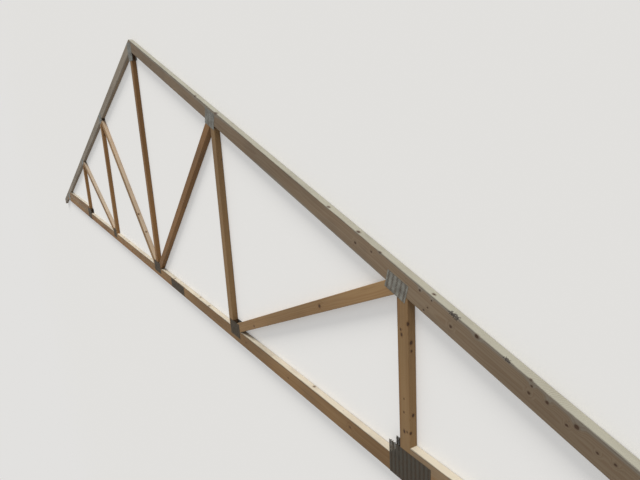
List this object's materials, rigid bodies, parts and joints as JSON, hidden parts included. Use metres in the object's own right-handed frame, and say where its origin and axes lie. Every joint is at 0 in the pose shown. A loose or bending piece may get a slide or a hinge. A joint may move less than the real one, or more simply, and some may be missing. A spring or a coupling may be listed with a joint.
{
  "type": "wood roof truss",
  "caption": "Flat gable roof truss of sawn lumber: sloping top chords, a level bottom chord, posts and diagonals, joined on both faces by punched steel connector plates",
  "frame": {"origin": "under the middle of the outline, at the level of the back plates' outer faces, on which the truss lies", "axes": "X along the span, Y from the bottom chord to the peak, Z through the thickness and up as the truss lies"},
  "size_m": [13.1064, 2.2782, 0.0401],
  "materials": {
    "top_chord": "rough sawn softwood, pale and slightly grey",
    "bottom_chord": "rough sawn softwood, tan",
    "heel_block": "rough sawn softwood, tan",
    "post": "rough sawn softwood with knots, tan",
    "diagonal": "rough sawn softwood, warm tan",
    "plate": "dull galvanised sheet, punched"
  },
  "bodies": {
    "root": {"bottom_chord_left": "bottom_chord", "bottom_chord_right": "bottom_chord", "heel_block_left": "heel_block", "heel_block_right": "heel_block", "heel_plate_left_back": "plate", "heel_plate_left_front": "plate", "heel_plate_right_back": "plate", "heel_plate_right_front": "plate", "inner_diagonal_left": "diagonal", "inner_diagonal_right": "diagonal", "inner_foot_plate_left_back": "plate", "inner_foot_plate_left_front": "plate", "inner_foot_plate_right_back": "plate", "inner_foot_plate_right_front": "plate", "inner_head_plate_left_back": "plate", "inner_head_plate_left_front": "plate", "inner_head_plate_right_back": "plate", "inner_head_plate_right_front": "plate", "inner_post_left": "post", "inner_post_right": "post", "king_foot_plate_back": "plate", "king_foot_plate_front": "plate", "king_post": "post", "outer_diagonal_left": "diagonal", "outer_diagonal_right": "diagonal", "outer_foot_plate_left_back": "plate", "outer_foot_plate_left_front": "plate", "outer_foot_plate_right_back": "plate", "outer_foot_plate_right_front": "plate", "outer_head_plate_left_back": "plate", "outer_head_plate_left_front": "plate", "outer_head_plate_right_back": "plate", "outer_head_plate_right_front": "plate", "outer_post_left": "post", "outer_post_right": "post", "peak_plate_back": "plate", "peak_plate_front": "plate", "splice_plate_back": "plate", "splice_plate_front": "plate", "top_chord_left": "top_chord", "top_chord_right": "top_chord"}
  },
  "joints": []
}
